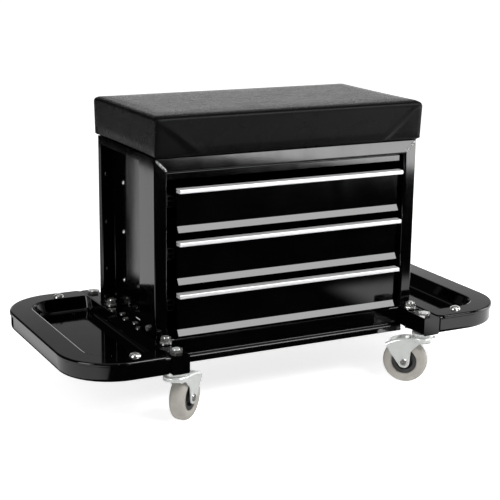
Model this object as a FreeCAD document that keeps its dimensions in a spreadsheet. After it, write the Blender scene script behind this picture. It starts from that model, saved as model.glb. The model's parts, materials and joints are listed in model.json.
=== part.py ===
import FreeCAD, Part
import os
import Sketcher
from FreeCAD import Rotation, Vector

# Rolling workshop seat: a padded seat on a three-drawer sheet-steel cabinet, carried by two square
# tubes on four swivel casters, with a tool tray on a bent-tube frame at each side.
# Origin on the floor under the middle of the seat, X to the sitter's right, Y to the back, Z up.

document = FreeCAD.newDocument("CreeperSeat")
sheet = document.addObject("Spreadsheet::Sheet", "Sizes")

lengths = {
    # sheets and running clearances
    "panel_sheet": 1.0,
    "base_sheet": 1.2,
    "bend": 1.0,
    "post_bend": 3.0,
    "shaft_clearance": 0.05,
    "soft_clearance": 0.3,
    "slide_clearance": 0.3,
    "overrun": 5.0,
    # cross tubes that carry everything
    "beam_side": 25.4,
    "beam_wall": 1.8,
    "beam_corner": 2.2,
    "beam_overhang": 68.6,
    "beam_set_in": 7.1,
    "cap_sheet": 1.5,
    # cabinet
    "cabinet_width": 404.4,
    "cabinet_depth": 204.2,
    "cabinet_height": 246.5,
    "post_width": 19.2,
    "post_return": 10.0,
    "bay_set_back": 54.1,
    "back_post_width": 13.6,
    "header_height": 20.0,
    "header_step": 8.0,
    "header_lip": 11.0,
    "header_hollow": 3.6,
    "back_turn": 12.0,
    "side_cap_height": 10.0,
    "foot_length": 19.0,
    # rails under the cabinet
    "rail_sheet": 1.5,
    "rail_gap": 0.9,
    "rail_top_turn": 12.0,
    "rail_drop": 24.0,
    "rail_ledge": 8.0,
    "rail_lip": 9.2,
    # drawers
    "drawer_stack_gap": 33.5,
    "pull_drop": 43.7,
    "pull_height": 5.5,
    "pull_depth": 13.0,
    "pull_corner": 1.3,
    "pull_bite": 7.0,
    "pull_overhang": 1.0,
    "front_side_gap": 11.0,
    "front_gap": 13.7,
    "front_stand_off": 0.9,
    "flare_height": 8.0,
    "flare_reach": 5.0,
    "drawer_side_gap": 14.0,
    "drawer_back_gap": 17.1,
    "drawer_gap": 21.0,
    "drawer_sheet": 0.9,
    "drawer_corner": 3.0,
    # drawer slides
    "slide_drop": 17.4,
    "slide_height": 16.0,
    "slide_back_gap": 18.2,
    "slide_sheet": 1.2,
    "slide_lip": 3.4,
    "slide_front": 12.0,
    "runner_height": 12.0,
    "runner_web": 2.0,
    "runner_gap": 1.4,
    "runner_head_gap": 2.6,
    "runner_short": 4.0,
    "rivet_shank": 1.6,
    "rivet_head": 3.2,
    "rivet_dome": 1.7,
    "rivet_upset": 2.4,
    "rivet_tail": 1.0,
    "rivet_set_in": 48.1,
    # seat
    "seat_side_overhang": 1.0,
    "seat_end_overhang": 6.3,
    "seat_thickness": 52.6,
    "seat_crown": 2.6,
    "seat_draw_in": 1.6,
    "seat_edge": 4.0,
    "seat_corner": 4.5,
    "seat_foot_inset": 1.8,
    "seat_foot_rise": 2.4,
    "crown_shoulder": 1.3,
    "board_set_in": 11.3,
    "board_thickness": 9.0,
    "board_corner": 12.0,
    "seat_screw_side_set_in": 52.2,
    "seat_screw_end_set_in": 32.1,
    "seat_screw_shank": 2.1,
    "seat_screw_head": 4.6,
    "seat_screw_dome": 2.6,
    "seat_screw_bite": 8.0,
    # side trays
    "tray_reach": 128.2,
    "tray_set_in": 1.2,
    "tray_tube_side": 24.9,
    "tray_tube_edge": 4.6,
    "tray_tube_wall": 1.5,
    "tray_tube_corner": 75.0,
    "tray_tube_gap": 3.2,
    "spigot_side": 21.5,
    "spigot_edge": 3.2,
    "spigot_length": 30.0,
    "tray_sheet": 1.2,
    "rim_overhang": 1.6,
    "rim_drop": 4.6,
    "rim_edge": 2.6,
    "rim_chamfer": 9.0,
    "basin_rim": 33.4,
    "basin_rim_side": 31.9,
    "basin_depth": 19.0,
    "basin_corner": 41.0,
    "basin_near_corner": 9.2,
    "basin_slope": 6.0,
    "basin_flare": 2.6,
    "basin_floor_round": 6.0,
    "basin_gap": 0.4,
    "tray_screw_reach": 42.2,
    "tray_screw_set_in": 20.5,
    "tray_screw_bite": 7.2,
    "tray_screw_shank": 2.5,
    "tray_screw_head": 7.7,
    "tray_screw_dome": 4.6,
    # tool rack on the cross tubes
    "eyelet_back_gap": 31.5,
    "eyelet_front_gap": 9.0,
    "eyelet_stagger": 2.5,
    "eyelet_flange": 4.4,
    "eyelet_bore": 2.6,
    "eyelet_wall": 0.6,
    "eyelet_rise": 1.2,
    "eyelet_drop": 3.4,
    # cabinet and caster fasteners
    "bolt_shank": 4.0,
    "bolt_head_across": 13.0,
    "bolt_head_height": 3.4,
    "bolt_end": 1.6,
    "nut_height": 6.2,
    "washer_outer": 8.2,
    "washer_sheet": 1.6,
    "bolt_set_in": 8.9,
    "front_bolt_reach": 14.9,
    "back_bolt_gap": 9.5,
    "panel_bolt_set_back": 22.1,
    "panel_bolt_rise": 11.3,
    "panel_bolt_shank": 2.4,
    "panel_bolt_across": 7.4,
    "panel_bolt_head": 3.2,
    "stem_nut_across": 16.0,
    "stem_nut_height": 3.6,
    # casters
    "caster_side_shift": 1.1,
    "caster_set_in": 18.2,
    "stem_radius": 5.0,
    "race_radius": 16.6,
    "race_neck": 14.6,
    "race_height": 5.2,
    "race_rim": 3.0,
    "race_gap": 0.3,
    "kingpin_flange": 8.0,
    "kingpin_height": 1.8,
    "stem_proud": 0.9,
    "cup_radius": 17.6,
    "cup_height": 6.2,
    "cup_edge": 2.6,
    "fork_sheet": 1.6,
    "fork_bend": 4.0,
    "fork_nose": 12.0,
    "fork_flat": 20.0,
    "fork_tail": 53.0,
    "fork_lip": 2.6,
    "fork_lip_drop": 5.0,
    "fork_skirt": 3.8,
    "fork_leg_end": 8.5,
    "fork_leg_front": 15.2,
    "fork_leg_waist": 20.0,
    "fork_leg_shoulder": 10.7,
    "fork_shoulder_x": 3.4,
    "hood_drop": 3.4,
    "hood_radius": 62.0,
    "caster_head_room": 12.7,
    "caster_trail": 25.0,
    "wheel_radius": 31.75,
    "wheel_width": 21.0,
    "tread_corner": 7.5,
    "tread_edge": 2.4,
    "hub_radius": 18.0,
    "hub_rim_inner": 12.5,
    "hub_rim_width": 17.0,
    "hub_web": 6.0,
    "hub_boss": 6.8,
    "hub_boss_width": 23.4,
    "axle_radius": 4.0,
    "axle_head": 5.4,
    "axle_head_height": 1.4,
    "axle_head_slope": 0.8,
}

for row, (name, length) in enumerate(lengths.items(), start=1):
    sheet.set(f"A{row}", name)
    sheet.set(f"B{row}", str(length))
    sheet.setAlias(f"B{row}", name)
document.recompute()

# Headings of the trailing wheels at rest, in degrees from +X
caster_headings = {"front_left": 40, "front_right": 136, "rear_left": 200, "rear_right": 330}
sides = {"left": -1, "right": 1}
drawer_rows = {"top": 0, "middle": 1, "bottom": 2}
eyelet_count = 5
# Cosine and sine of 30 degrees, for the leaning fork leg and the rolled edge of the cushion
lean_shares = (0.866, 0.5)
arc_half_turn = 0.5 ** 0.5
match = 0.001


class Size:
    # A length that holds both its number and the sheet expression that it comes from
    def __init__(self, text, number):
        self.text = text
        self.number = number

    def join(self, other, sign, number):
        return Size(f"({self.text} {sign} {text_of(other)})", number)

    def __add__(self, other):
        return self.join(other, "+", self.number + number_of(other))

    def __sub__(self, other):
        return self.join(other, "-", self.number - number_of(other))

    def __mul__(self, other):
        return self.join(other, "*", self.number * number_of(other))

    def __truediv__(self, other):
        return self.join(other, "/", self.number / number_of(other))

    def __neg__(self):
        return self * -1


def text_of(value):
    return value.text if isinstance(value, Size) else str(value)


def number_of(value):
    return value.number if isinstance(value, Size) else value


def length_of(name):
    return Size(f"Sizes.{name}", lengths[name])


def bind(thing, where, value):
    thing.setExpression(where, text_of(value))


def place(thing, x=0, y=0, z=0):
    bind(thing, "Placement.Base.x", x)
    bind(thing, "Placement.Base.y", y)
    bind(thing, "Placement.Base.z", z)
    return thing


# Sketches and features of a body

def new_body(label):
    body = document.addObject("PartDesign::Body", label)
    body.Label = label
    return body


def new_sketch(body, role, lift=0, shift=(0, 0)):
    drawing = body.newObject("Sketcher::SketchObject", f"{body.Name}_sketch")
    planes = {plane.Role: plane for plane in body.Origin.OriginFeatures}
    drawing.AttachmentSupport = [(planes[role], "")]
    drawing.MapMode = "FlatFace"
    bind(drawing, "AttachmentOffset.Base.x", shift[0])
    bind(drawing, "AttachmentOffset.Base.y", shift[1])
    bind(drawing, "AttachmentOffset.Base.z", lift)
    return drawing


def pin_point(drawing, part, end, across, up):
    for kind, value in (("DistanceX", across), ("DistanceY", up)):
        rule = drawing.addConstraint(Sketcher.Constraint(kind, -1, 1, part, end, number_of(value)))
        bind(drawing, f"Constraints[{rule}]", value)


def draw_line(drawing, start, finish):
    ends = [Vector(number_of(point[0]), number_of(point[1]), 0) for point in (start, finish)]
    part = drawing.addGeometry(Part.LineSegment(ends[0], ends[1]))
    pin_point(drawing, part, 1, start[0], start[1])
    pin_point(drawing, part, 2, finish[0], finish[1])
    return part


def draw_arc(drawing, start, finish, centre, radius):
    ends = [Vector(number_of(point[0]), number_of(point[1]), 0) for point in (start, finish)]
    middle = Vector(number_of(centre[0]), number_of(centre[1]), 0)
    bulge = (ends[0] + ends[1]) / 2 - middle
    bulge.normalize()
    arc = Part.Arc(ends[0], middle + bulge * number_of(radius), ends[1])
    part = drawing.addGeometry(arc)
    first = 1 if drawing.getPoint(part, 1).distanceToPoint(ends[0]) < match else 2
    pin_point(drawing, part, first, start[0], start[1])
    pin_point(drawing, part, 3 - first, finish[0], finish[1])
    rule = drawing.addConstraint(Sketcher.Constraint("Radius", part, number_of(radius)))
    bind(drawing, f"Constraints[{rule}]", radius)
    return part


def heading(start, finish):
    # Whole-number direction of a side that runs along one of the sketch's axes
    across = number_of(finish[0]) - number_of(start[0])
    up = number_of(finish[1]) - number_of(start[1])
    reach = max(abs(across), abs(up))
    return round(across / reach), round(up / reach)


def draw_path(drawing, points, radii=None, closed=True):
    # A run of lines through the points; a corner with a radius joins two sides at a right angle
    count = len(points)
    radii = radii or [0] * count
    starts, finishes = list(points), list(points)
    for index, radius in enumerate(radii):
        if not number_of(radius):
            continue
        before = heading(points[index - 1], points[index])
        after = heading(points[index], points[(index + 1) % count])
        corner = points[index]
        finishes[index] = (corner[0] - radius * before[0], corner[1] - radius * before[1])
        starts[index] = (corner[0] + radius * after[0], corner[1] + radius * after[1])
        centre = tuple(finishes[index][axis] + radius * after[axis] for axis in (0, 1))
        draw_arc(drawing, finishes[index], starts[index], centre, radius)
    for index in range(count if closed else count - 1):
        draw_line(drawing, starts[index], finishes[(index + 1) % count])


def draw_circle(drawing, centre, radius):
    middle = Vector(number_of(centre[0]), number_of(centre[1]), 0)
    part = drawing.addGeometry(Part.Circle(middle, Vector(0, 0, 1), number_of(radius)))
    pin_point(drawing, part, 3, centre[0], centre[1])
    rule = drawing.addConstraint(Sketcher.Constraint("Radius", part, number_of(radius)))
    bind(drawing, f"Constraints[{rule}]", radius)


def folded(points, thickness, bend, turn, own_bends=None):
    # Outline of a folded sheet: the points are its show face, the metal lies to one side of them
    count = len(points)
    bends = [(own_bends or {}).get(index, bend) for index in range(count)]
    steps = [heading(points[index], points[index + 1]) for index in range(count - 1)]
    metal_sides = [(-step[1] * turn, step[0] * turn) for step in steps]
    back, face_radii, back_radii = [], [0], [0]
    for index, point in enumerate(points):
        near = metal_sides[max(index - 1, 0)]
        far = metal_sides[min(index, count - 2)]
        shift = near if near == far else (near[0] + far[0], near[1] + far[1])
        back.append((point[0] + thickness * shift[0], point[1] + thickness * shift[1]))
        if 0 < index < count - 1:
            step = steps[index]
            proud = near[0] * step[0] + near[1] * step[1] > 0
            face_radii.append(bends[index] + thickness if proud else bends[index])
            back_radii.append(bends[index] if proud else bends[index] + thickness)
    outline = points + back[::-1]
    return outline, face_radii + [0, 0] + back_radii[:0:-1] + [0]


def pad(body, drawing, length, reverse=False, middle=False):
    feature = body.newObject("PartDesign::Pad", f"{body.Name}_pad")
    feature.Profile = drawing
    feature.Reversed = reverse
    feature.Midplane = middle
    bind(feature, "Length", length)
    return feature


def pocket(body, drawing, length, reverse=False, middle=False):
    document.recompute()
    before = body.Shape.Volume
    feature = body.newObject("PartDesign::Pocket", f"{body.Name}_pocket")
    feature.Profile = drawing
    feature.Reversed = reverse
    feature.Midplane = middle
    bind(feature, "Length", length)
    document.recompute()
    if feature.Shape.Volume >= before:
        raise ValueError(f"{body.Label}: a pocket removes nothing")
    return feature


def spin(body, drawing, axis="V_Axis"):
    feature = body.newObject("PartDesign::Revolution", f"{body.Name}_turning")
    feature.Profile = drawing
    feature.ReferenceAxis = (drawing, [axis])
    feature.Angle = 360
    return feature


def round_edges(body, radius, wanted):
    # Fillet of the last feature's edges that the given test picks by middle point and direction
    document.recompute()
    base = body.Tip
    names = []
    for number, edge in enumerate(base.Shape.Edges, start=1):
        middle = edge.valueAt((edge.FirstParameter + edge.LastParameter) / 2)
        direction = edge.tangentAt((edge.FirstParameter + edge.LastParameter) / 2)
        if wanted(middle, direction):
            names.append(f"Edge{number}")
    feature = body.newObject("PartDesign::Fillet", f"{body.Name}_fillet")
    feature.Base = (base, names)
    bind(feature, "Radius", radius)
    return feature


# Primitives for fasteners and flat pieces

def box(name, corner, sizes_of_box):
    block = document.addObject("Part::Box", name)
    bind(block, "Length", sizes_of_box[0])
    bind(block, "Width", sizes_of_box[1])
    bind(block, "Height", sizes_of_box[2])
    return place(block, *corner)


def rod(name, radius, height, x, y, z, axis="z"):
    turned = document.addObject("Part::Cylinder", name)
    bind(turned, "Radius", radius)
    bind(turned, "Height", height)
    return lay(turned, x, y, z, axis)


def hexagon(name, across, height, x, y, z, axis="z"):
    block = document.addObject("Part::Prism", name)
    block.Polygon = 6
    bind(block, "Circumradius", f"{text_of(across)} / 2 / cos(30 deg)")
    bind(block, "Height", height)
    return lay(block, x, y, z, axis)


def dome(name, radius, height, x, y, z, axis="z"):
    cap = document.addObject("Part::Ellipsoid", name)
    cap.Angle1 = 0
    cap.Angle2 = 90
    bind(cap, "Radius1", height)
    bind(cap, "Radius2", radius)
    bind(cap, "Radius3", radius)
    return lay(cap, x, y, z, axis)


def lay(thing, x, y, z, axis):
    # Stands a round piece on Z, or lays it along X, or hangs it upside down
    turns = {"z": (0, 0, 0), "down": (0, 180, 0), "+x": (0, 90, 0), "-x": (0, -90, 0)}
    yaw, pitch, roll = turns[axis]
    thing.Placement.Rotation = Rotation(yaw, pitch, roll)
    return place(thing, x, y, z)


def join(name, pieces):
    fusion = document.addObject("Part::MultiFuse", name)
    fusion.Shapes = pieces
    return fusion


def cut(name, base, tool):
    remainder = document.addObject("Part::Cut", name)
    remainder.Base = base
    remainder.Tool = tool
    return remainder


def group(label, pieces):
    together = document.addObject("Part::Compound", label)
    together.Links = pieces
    together.Label = label
    return together


# Sizes worked out from the driving ones

panel = length_of("panel_sheet")
base_sheet = length_of("base_sheet")
bend = length_of("bend")
overrun = length_of("overrun")
shaft_clearance = length_of("shaft_clearance")
beam_side = length_of("beam_side")
wheel_radius = length_of("wheel_radius")
beam_floor = wheel_radius * 2 + length_of("caster_head_room")
beam_top = beam_floor + beam_side
base_top = beam_top + base_sheet
half_width = length_of("cabinet_width") / 2
half_depth = length_of("cabinet_depth") / 2
beam_offset = half_width - length_of("beam_set_in")
beam_inner = beam_offset - beam_side / 2
beam_outer = beam_offset + beam_side / 2
beam_end = half_depth + length_of("beam_overhang")
cabinet_top = beam_top + length_of("cabinet_height")
side_top = cabinet_top - panel
post_width = length_of("post_width")
bay_wall = half_width - post_width
bay_front = length_of("bay_set_back") - half_depth
bay_back = half_depth - length_of("back_post_width")
opening_half = bay_wall - panel
pull_centre = cabinet_top - length_of("pull_drop")
drawer_pitch = (length_of("cabinet_height") - length_of("drawer_stack_gap")) / len(drawer_rows)
drawer_front_face = -(half_depth + length_of("front_stand_off") + panel)
drawer_front_back = drawer_front_face + panel
drawer_back = half_depth - length_of("drawer_back_gap")
drawer_half = opening_half - length_of("drawer_side_gap")
drawer_height = drawer_pitch - length_of("drawer_gap")
front_half = opening_half - length_of("front_side_gap")
slide_length = (half_depth - length_of("slide_front")) + (half_depth - length_of("slide_back_gap"))
rivet_y = half_depth - length_of("rivet_set_in")
seat_half_width = half_width + length_of("seat_side_overhang")
seat_half_depth = half_depth + length_of("seat_end_overhang")
board_half_width = seat_half_width - length_of("board_set_in")
board_half_depth = seat_half_depth - length_of("board_set_in")
tray_end = beam_outer + length_of("tray_reach")
tray_half_width = beam_end - length_of("tray_set_in")
tray_screw_x = beam_outer + length_of("tray_screw_reach")
tray_screw_y = tray_half_width - length_of("tray_screw_set_in")
bolt_shank = length_of("bolt_shank")
bolt_x = half_width - length_of("bolt_set_in")
bolt_places = {
    "front": (bolt_x, -(half_depth + length_of("front_bolt_reach"))),
    "back": (bolt_x, bay_back - length_of("back_bolt_gap")),
}
panel_bolt_place = (length_of("panel_bolt_set_back") - half_depth, base_top + length_of("panel_bolt_rise"))
caster_x = beam_offset - length_of("caster_side_shift")
caster_y = beam_end - length_of("caster_set_in")
stem_radius = length_of("stem_radius")


def cross_beam(side):
    # Square tube from front to back, drilled for the casters, the cabinet bolts and the tool rack
    way = sides[side]
    body = new_body(f"{side}_beam")
    length = (beam_end - length_of("cap_sheet")) * 2
    section = new_sketch(body, "XZ_Plane", 0, (beam_offset * way, beam_floor + beam_side / 2))
    half = beam_side / 2
    bore = half - length_of("beam_wall")
    corner = length_of("beam_corner")
    for reach, radius in ((half, corner), (bore, corner - length_of("beam_wall") / 2)):
        square = [(-reach, -reach), (reach, -reach), (reach, reach), (-reach, reach)]
        draw_path(section, square, [radius] * 4)
    pad(body, section, length, middle=True)
    drilling = new_sketch(body, "XY_Plane", beam_top + overrun)
    for end in (-1, 1):
        draw_circle(drilling, (caster_x * way, caster_y * end), stem_radius + shaft_clearance)
    for x, y in bolt_places.values():
        draw_circle(drilling, (x * way, y), bolt_shank + shaft_clearance)
    pocket(body, drilling, beam_side + overrun * 2)
    rack = new_sketch(body, "XY_Plane", beam_top + overrun)
    for x, y in eyelet_places(way):
        draw_circle(rack, (x, y), length_of("eyelet_bore") + length_of("eyelet_wall"))
    pocket(body, rack, beam_side / 2 + overrun)
    return body


def eyelet_places(way):
    # Tool holes in a zigzag along the top of the tube, in front of the sunk side panel
    places = []
    first = bay_back - length_of("eyelet_back_gap")
    last = bay_front + length_of("eyelet_front_gap")
    for index in range(eyelet_count):
        stagger = length_of("eyelet_stagger") * (1 if index % 2 else -1)
        x = (beam_offset + length_of("eyelet_flange") / 2 - stagger) * way
        places.append((x, first - (first - last) * index / (eyelet_count - 1)))
    return places


def tool_eyelets():
    # Flanged sleeves that line the tool holes
    pieces = []
    for side, way in sides.items():
        for index, (x, y) in enumerate(eyelet_places(way)):
            name = f"eyelet_{side}_{index}"
            drop = length_of("eyelet_drop")
            rise = length_of("eyelet_rise")
            bore = length_of("eyelet_bore")
            flange = rod(f"{name}_flange", length_of("eyelet_flange"), rise, x, y, beam_top)
            sleeve = rod(f"{name}_sleeve", bore + length_of("eyelet_wall"), drop, x, y, beam_top - drop)
            hole = rod(f"{name}_hole", bore, drop + rise, x, y, beam_top - drop)
            pieces.append(cut(name, join(f"{name}_blank", [flange, sleeve]), hole))
    return group("tool_eyelets", pieces)


def beam_end_caps():
    # Flat plates that close the tube ends
    pieces = []
    plate = length_of("cap_sheet")
    for side, way in sides.items():
        for end in (-1, 1):
            name = f"cap_{side}_{'front' if end < 0 else 'back'}"
            body = new_body(f"{name}_plate")
            half = beam_side / 2
            square = [(-half, -half), (half, -half), (half, half), (-half, half)]
            back = beam_end * -end
            outer = back - plate if end < 0 else back
            section = new_sketch(body, "XZ_Plane", outer, (beam_offset * way, beam_floor + half))
            draw_path(section, square, [length_of("beam_corner")] * 4)
            pad(body, section, plate)
            pieces.append(body)
    return group("beam_end_caps", pieces)


def lower_rail(end):
    # Folded sheet rail between the two tubes, under the cabinet's front or back edge
    way = -1 if end == "front" else 1
    body = new_body(f"{end}_rail")
    face = half_depth + length_of("rail_gap")
    ledge = face + length_of("rail_ledge")
    shelf = beam_top - length_of("rail_drop")
    profile = [
        ((face - length_of("rail_top_turn")) * way, beam_top),
        (face * way, beam_top),
        (face * way, shelf),
        (ledge * way, shelf),
        (ledge * way, shelf - length_of("rail_lip")),
    ]
    outline, radii = folded(profile, length_of("rail_sheet"), bend, way * -1)
    section = new_sketch(body, "YZ_Plane")
    draw_path(section, outline, radii)
    pad(body, section, beam_inner * 2, middle=True)
    return body


def cabinet_bottom():
    # Base plate on the tubes, cut back at the side bays, with drilled feet for the bolts
    body = new_body("cabinet_bottom")
    foot_back = bolt_places["back"][1] - length_of("foot_length") / 2
    foot_front = bolt_places["front"][1] - length_of("foot_length") / 2
    foot_edge = bolt_places["front"][0] + length_of("foot_length") / 2
    foot_inner = bolt_places["front"][0] - length_of("foot_length") / 2
    half_outline = [
        (foot_inner, -half_depth),
        (foot_inner, foot_front),
        (foot_edge, foot_front),
        (foot_edge, -half_depth),
        (half_width, -half_depth),
        (half_width, bay_front),
        (bay_wall, bay_front),
        (bay_wall, foot_back),
        (foot_edge, foot_back),
        (foot_edge, bay_back),
        (half_width, bay_back),
        (half_width, half_depth),
    ]
    mirrored = [(-x, y) for x, y in reversed(half_outline)]
    plate = new_sketch(body, "XY_Plane", beam_top)
    draw_path(plate, half_outline + mirrored)
    pad(body, plate, base_sheet)
    drilling = new_sketch(body, "XY_Plane", base_top + overrun)
    for way in sides.values():
        for x, y in bolt_places.values():
            draw_circle(drilling, (x * way, y), bolt_shank + shaft_clearance)
    pocket(body, drilling, base_sheet + overrun * 2)
    return body


def side_panel(side):
    # One folded sheet: front post, sunk tool bay, back post and the inward turns at both ends
    way = sides[side]
    body = new_body(f"cabinet_{side}_side")
    height = side_top - base_top
    profile = [
        (bay_wall * way, length_of("post_return") - half_depth),
        (bay_wall * way, -half_depth),
        (half_width * way, -half_depth),
        (half_width * way, bay_front),
        (bay_wall * way, bay_front),
        (bay_wall * way, bay_back),
        (half_width * way, bay_back),
        (half_width * way, half_depth),
        ((half_width - length_of("back_turn")) * way, half_depth),
    ]
    outline, radii = folded(profile, panel, bend, way, {1: length_of("post_bend")})
    section = new_sketch(body, "XY_Plane", base_top)
    draw_path(section, outline, radii)
    pad(body, section, height)
    # Closed strip over the bay
    cap_floor = side_top - length_of("side_cap_height")
    strip = new_sketch(body, "XZ_Plane", -(bay_back + panel / 2))
    lid = [
        ((bay_wall - panel / 2) * way, cap_floor),
        (half_width * way, cap_floor),
        (half_width * way, side_top),
        ((half_width - panel) * way, side_top),
        ((half_width - panel) * way, cap_floor + panel),
        ((bay_wall - panel / 2) * way, cap_floor + panel),
    ]
    draw_path(strip, lid)
    pad(body, strip, bay_back - bay_front + panel)
    # Mitre where the front post meets the header
    mitre = new_sketch(body, "XZ_Plane", half_depth + overrun)
    mitre_reach = half_width - panel - bend - bay_wall
    corner = [
        ((half_width - panel - bend) * way, side_top + overrun),
        ((half_width - panel - bend) * way, side_top - panel - bend),
        ((bay_wall - overrun) * way, side_top - panel - bend - mitre_reach - overrun),
        ((bay_wall - overrun) * way, side_top + overrun),
    ]
    draw_path(mitre, corner)
    pocket(body, mitre, overrun + length_of("post_return") + overrun)
    # Holes for the slide rivets and the panel bolt
    drilling = new_sketch(body, "YZ_Plane", bay_wall * way + overrun)
    for row in drawer_rows.values():
        spot = (rivet_y, slide_centre(row))
        draw_circle(drilling, spot, length_of("rivet_shank") + shaft_clearance)
    pocket(body, drilling, overrun * 2)
    bolt_hole = new_sketch(body, "YZ_Plane", half_width * way + overrun)
    draw_circle(bolt_hole, panel_bolt_place, length_of("panel_bolt_shank") + shaft_clearance)
    pocket(body, bolt_hole, overrun * 2)
    return body


def cabinet_top_panel():
    # Lid with the front header folded down, its stepped lip, and a short turn at the back
    body = new_body("cabinet_top")
    header_floor = cabinet_top - length_of("header_height")
    step = length_of("header_step") - half_depth
    profile = [
        (step, header_floor - length_of("header_lip")),
        (step, header_floor),
        (-half_depth, header_floor),
        (-half_depth, cabinet_top),
        (half_depth, cabinet_top),
        (half_depth, cabinet_top - length_of("back_turn")),
    ]
    outline, radii = folded(profile, panel, bend, -1, {1: length_of("header_hollow")})
    section = new_sketch(body, "YZ_Plane")
    draw_path(section, outline, radii)
    pad(body, section, half_width * 2, middle=True)
    # Mitred ends of the header, and the back turn cut to stand between the side panels
    mitre_reach = half_width - panel - bay_wall
    for way in sides.values():
        mitre = new_sketch(body, "XZ_Plane", half_depth + overrun)
        corner = [
            ((half_width + overrun) * way, side_top),
            ((half_width - panel - bend) * way, side_top),
            ((half_width - panel - bend) * way, side_top - panel - bend),
            ((bay_wall - bend) * way, side_top - panel - bend - mitre_reach),
            ((bay_wall - bend) * way, header_floor - length_of("header_lip") - overrun),
            ((half_width + overrun) * way, header_floor - length_of("header_lip") - overrun),
        ]
        draw_path(mitre, corner)
        pocket(body, mitre, overrun + length_of("header_step") + overrun)
        notch = new_sketch(body, "XZ_Plane", -(half_depth + overrun))
        clear_of_turn = half_width - length_of("back_turn") - bend
        corner = [
            (clear_of_turn * way, side_top),
            ((half_width + overrun) * way, side_top),
            ((half_width + overrun) * way, side_top - length_of("back_turn") - overrun),
            (clear_of_turn * way, side_top - length_of("back_turn") - overrun),
        ]
        draw_path(notch, corner)
        pocket(body, notch, overrun * 2, reverse=True)
    # Holes for the seat screws
    drilling = new_sketch(body, "XY_Plane", cabinet_top + overrun)
    for x, y in seat_screw_places():
        draw_circle(drilling, (x, y), length_of("seat_screw_shank") + shaft_clearance)
    pocket(body, drilling, overrun * 2)
    return body


def cabinet_back_panel():
    # Flat back, held inside the turns of the side panels and the lid
    half = half_width - length_of("back_turn") / 2
    floor = base_top
    height = side_top - length_of("bend") - floor
    corner = (-half, half_depth - panel * 2, floor)
    plate = box("cabinet_back", corner, (half * 2, panel, height))
    plate.Label = "cabinet_back"
    return plate


def seat_screw_places():
    x = half_width - length_of("seat_screw_side_set_in")
    y = half_depth - length_of("seat_screw_end_set_in")
    return [(x * across, y * along) for across in (-1, 1) for along in (-1, 1)]


def slide_centre(row):
    return pull_centre - length_of("slide_drop") - drawer_pitch * row


def slide_rails(side):
    # Three lipped channels riveted to the inside of the side panel
    way = sides[side]
    web = opening_half
    reach = drawer_half + length_of("slide_sheet") + length_of("runner_gap")
    pieces = []
    for name, row in drawer_rows.items():
        centre = slide_centre(row)
        half = length_of("slide_height") / 2
        lip = half - length_of("slide_lip")
        profile = [
            (reach * way, centre - lip),
            (reach * way, centre - half),
            (web * way, centre - half),
            (web * way, centre + half),
            (reach * way, centre + half),
            (reach * way, centre + lip),
        ]
        outline, radii = folded(profile, length_of("slide_sheet"), bend / 2, way)
        body = new_body(f"{side}_{name}_slide_rail")
        front = half_depth - length_of("slide_front")
        section = new_sketch(body, "XZ_Plane", front)
        draw_path(section, outline, radii)
        pad(body, section, slide_length, reverse=True)
        drilling = new_sketch(body, "YZ_Plane", web * way + overrun)
        spot = (rivet_y, centre)
        draw_circle(drilling, spot, length_of("rivet_shank") + shaft_clearance)
        pocket(body, drilling, overrun * 2)
        pieces.append(body)
    return group(f"{side}_slide_rails", pieces)


def slide_rivets():
    # Dome-headed rivets, one to each rail, set from the tool bay
    pieces = []
    shank = length_of("rivet_shank")
    grip = panel + length_of("slide_sheet")
    y = rivet_y
    for side, way in sides.items():
        out, back = ("+x", "-x") if way > 0 else ("-x", "+x")
        inner = (bay_wall - grip) * way
        for name, row in drawer_rows.items():
            z = slide_centre(row)
            title = f"rivet_{side}_{name}"
            head = dome(f"{title}_head", length_of("rivet_head"), length_of("rivet_dome"),
                        bay_wall * way, y, z, out)
            stem = rod(f"{title}_shank", shank, grip, inner, y, z, out)
            upset = rod(f"{title}_tail", length_of("rivet_upset"), length_of("rivet_tail"),
                        inner, y, z, back)
            pieces.append(join(title, [head, stem, upset]))
    return group("slide_rivets", pieces)


def panel_bolts():
    # Hex bolt and nut low on each front post
    pieces = []
    shank = length_of("panel_bolt_shank")
    across = length_of("panel_bolt_across")
    tall = length_of("panel_bolt_head")
    y, z = panel_bolt_place
    for side, way in sides.items():
        out, back = ("+x", "-x") if way > 0 else ("-x", "+x")
        head = hexagon(f"panel_bolt_{side}_head", across, tall, half_width * way, y, z, out)
        grip = panel + tall
        stem = rod(f"panel_bolt_{side}_shank", shank, grip, half_width * way, y, z, back)
        pieces.append(join(f"panel_bolt_{side}", [head, stem]))
        inner = (half_width - panel) * way
        blank = hexagon(f"panel_nut_{side}_blank", across, tall, inner, y, z, back)
        hole = rod(f"panel_nut_{side}_hole", shank + shaft_clearance, tall, inner, y, z, back)
        pieces.append(cut(f"panel_nut_{side}", blank, hole))
    return group("panel_bolts", pieces)


def drawer_box(name):
    # Open-topped tray with rounded upright corners
    body = new_body(f"drawer_{name}_box")
    top = pull_centre - drawer_pitch * drawer_rows[name]
    floor = top - drawer_height
    front = drawer_front_back
    back = drawer_back
    corner = length_of("drawer_corner")
    wall = length_of("drawer_sheet")
    outer = new_sketch(body, "XY_Plane", floor)
    shape = [(-drawer_half, front), (drawer_half, front), (drawer_half, back), (-drawer_half, back)]
    draw_path(outer, shape, [corner] * 4)
    pad(body, outer, drawer_height)
    inner = new_sketch(body, "XY_Plane", top + overrun)
    half = drawer_half - wall
    shape = [(-half, front + wall), (half, front + wall), (half, back - wall), (-half, back - wall)]
    draw_path(inner, shape, [corner - wall] * 4)
    pocket(body, inner, drawer_height + overrun - wall)
    return body


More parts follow.
